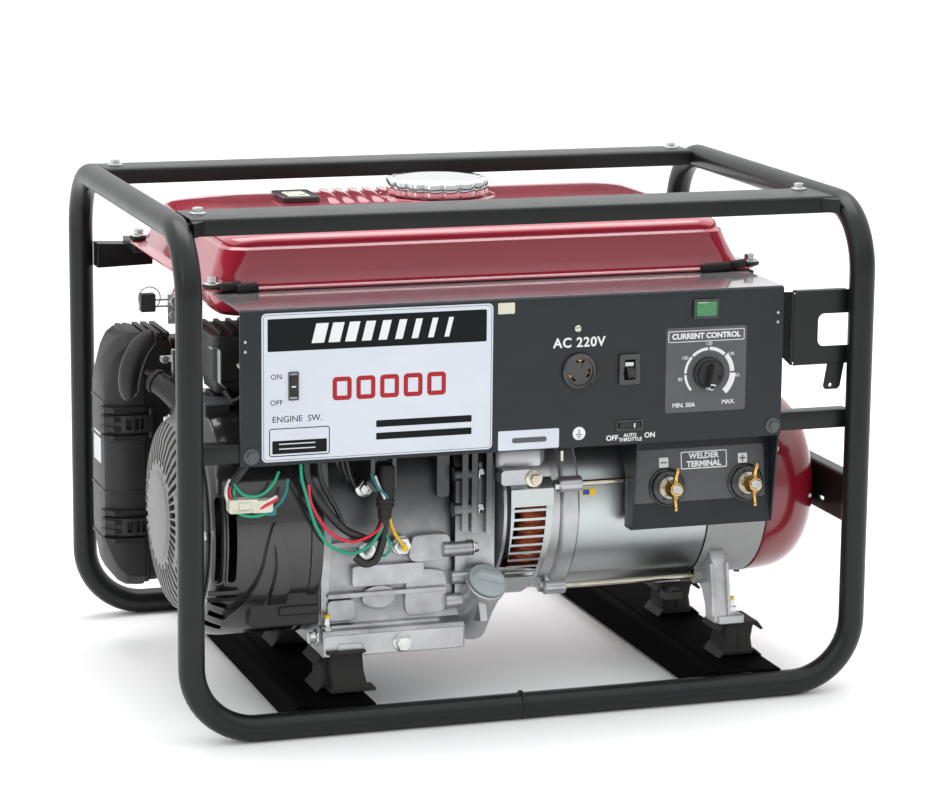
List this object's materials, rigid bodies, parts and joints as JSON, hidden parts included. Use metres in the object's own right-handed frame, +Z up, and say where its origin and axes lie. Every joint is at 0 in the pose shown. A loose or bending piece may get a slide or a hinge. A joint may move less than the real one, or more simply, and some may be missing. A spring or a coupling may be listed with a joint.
{
  "type": "engine driven welder",
  "caption": "Petrol engine and welding alternator on rubber mounts in an open pipe frame, with a red fuel tank on top and a control panel and weld terminals on one long side.",
  "frame": {"origin": "on the floor under the middle of the pipe frame", "axes": "+X along the crankshaft towards the domed alternator end, -Y towards the control panel, +Z up"},
  "size_m": [0.755, 0.5549, 0.5368],
  "materials": {
    "frame_black": "semi-gloss black enamel",
    "panel_grey": "fine hammered dark grey paint",
    "tank_red": "gloss deep red enamel",
    "cast_aluminium": "as cast, lightly blasted",
    "zinc": "zinc plated steel sheet",
    "band_grey": "grey painted casting",
    "plastic_black": "moulded black, light grain",
    "recoil_silver": "silver grey paint on pressed steel",
    "rubber": "matt black",
    "steel": "plain turned steel",
    "iron": "bare, inside",
    "copper": "varnished winding wire",
    "chrome": "bright plating",
    "brass": "bright turned brass",
    "lamp_green": "clear green lens",
    "cap_grey": "light grey moulded cap"
  },
  "bodies": {
    "chassis": {"frame_pipe_left": "frame_black", "frame_pipe_right": "frame_black", "top_rail_front": "frame_black", "top_rail_rear": "frame_black", "cross_member_left": "frame_black", "cross_member_right": "frame_black", "panel_bar_left": "frame_black", "panel_bar_right": "frame_black", "panel_bracket_right": "frame_black", "side_brace_right": "frame_black", "tank_arm_left": "frame_black", "tank_arm_right": "frame_black", "mount_engine_front": "rubber", "mount_engine_rear": "rubber", "mount_alternator_front": "rubber", "mount_alternator_rear": "rubber", "crankcase": "cast_aluminium", "cylinder_head": "cast_aluminium", "fan_shroud": "plastic_black", "recoil_cover": "recoil_silver", "alternator_bracket": "cast_aluminium", "vent_cover": "zinc", "stator_housing": "zinc", "stator_core": "iron", "stator_winding": "copper", "rear_bracket": "band_grey", "through_bolt_upper": "steel", "through_bolt_lower": "steel", "end_cover": "tank_red", "air_cleaner_cover": "plastic_black", "air_cleaner_body": "plastic_black", "carburetor": "cast_aluminium", "muffler": "steel", "ignition_unit": "plastic_black", "fuel_tank": "tank_red", "fuel_gauge": "plastic_black", "control_panel": "panel_grey", "socket": "plastic_black", "breaker": "plastic_black", "pilot_lamp": "lamp_green", "terminal_box": "panel_grey", "terminal_post_negative": "brass", "terminal_post_positive": "brass", "wire_harness": "rubber"},
    "crank": {"flywheel": "iron", "crankshaft": "steel", "rotor": "iron"},
    "recoil_grip": {"recoil_grip": "rubber"},
    "throttle_lever": {"throttle_lever": "plastic_black"},
    "air_latch_upper": {"air_latch_upper": "plastic_black"},
    "air_latch_lower": {"air_latch_lower": "plastic_black"},
    "fuel_cap": {"fuel_cap": "chrome"},
    "oil_filler_cap": {"oil_filler_cap": "cap_grey"},
    "wing_nut_negative": {"wing_nut_negative": "brass"},
    "wing_nut_positive": {"wing_nut_positive": "brass"},
    "breaker_toggle": {"breaker_toggle": "plastic_black"},
    "engine_switch": {"engine_switch": "plastic_black"},
    "throttle_switch": {"throttle_switch": "plastic_black"},
    "current_knob": {"current_knob": "plastic_black"}
  },
  "joints": [
    {"name": "crank_spin", "type": "hinge", "parent": "chassis", "child": "crank", "pos_m": [0, -0.11, 0.206], "axis": [1, 0, 0], "continuous": true},
    {"name": "recoil_pull", "type": "slide", "parent": "chassis", "child": "recoil_grip", "axis": [-0.8211, 0, 0.5708], "range_m": [0, 0.3], "stiffness_N_per_m": 40, "springref_m": -0.15},
    {"name": "throttle_turn", "type": "hinge", "parent": "chassis", "child": "throttle_lever", "pos_m": [-0.322, -0.024, 0.417], "axis": [0, 1, 0], "range_deg": [-20, 20]},
    {"name": "latch_upper_open", "type": "hinge", "parent": "chassis", "child": "air_latch_upper", "pos_m": [-0.324, 0.0885, 0.262], "axis": [0, 0, 1], "range_deg": [0, 100]},
    {"name": "latch_lower_open", "type": "hinge", "parent": "chassis", "child": "air_latch_lower", "pos_m": [-0.324, 0.0885, 0.146], "axis": [0, 0, 1], "range_deg": [0, 100]},
    {"name": "fuel_cap_turn", "type": "hinge", "parent": "chassis", "child": "fuel_cap", "pos_m": [0.006, 0.092, 0.5044], "axis": [0, 0, 1], "range_deg": [0, 90]},
    {"name": "oil_cap_turn", "type": "hinge", "parent": "chassis", "child": "oil_filler_cap", "pos_m": [-0.03659, -0.22153, 0.137], "axis": [0.1605, -0.6018, 0.7823], "range_deg": [0, 360]},
    {"name": "wing_nut_negative_turn", "type": "hinge", "parent": "chassis", "child": "wing_nut_negative", "pos_m": [0.1588, -0.23562, 0.23062], "axis": [0, -0.9923, 0.1239], "range_deg": [0, 360]},
    {"name": "wing_nut_positive_turn", "type": "hinge", "parent": "chassis", "child": "wing_nut_positive", "pos_m": [0.2485, -0.23562, 0.23062], "axis": [0, -0.9923, 0.1239], "range_deg": [0, 360]},
    {"name": "breaker_toggle_throw", "type": "hinge", "parent": "chassis", "child": "breaker_toggle", "pos_m": [0.1058, -0.2514, 0.364], "axis": [1, 0, 0], "range_deg": [-34, 0]},
    {"name": "engine_switch_rock", "type": "hinge", "parent": "chassis", "child": "engine_switch", "pos_m": [-0.2548, -0.251, 0.3651], "axis": [1, 0, 0], "range_deg": [-14, 0]},
    {"name": "throttle_switch_rock", "type": "hinge", "parent": "chassis", "child": "throttle_switch", "pos_m": [0.1072, -0.251, 0.3046], "axis": [0, 0, 1], "range_deg": [0, 14]},
    {"name": "current_knob_turn", "type": "hinge", "parent": "chassis", "child": "current_knob", "pos_m": [0.1946, -0.2554, 0.3554], "axis": [0, 1, 0], "range_deg": [-135, 135]}
  ]
}
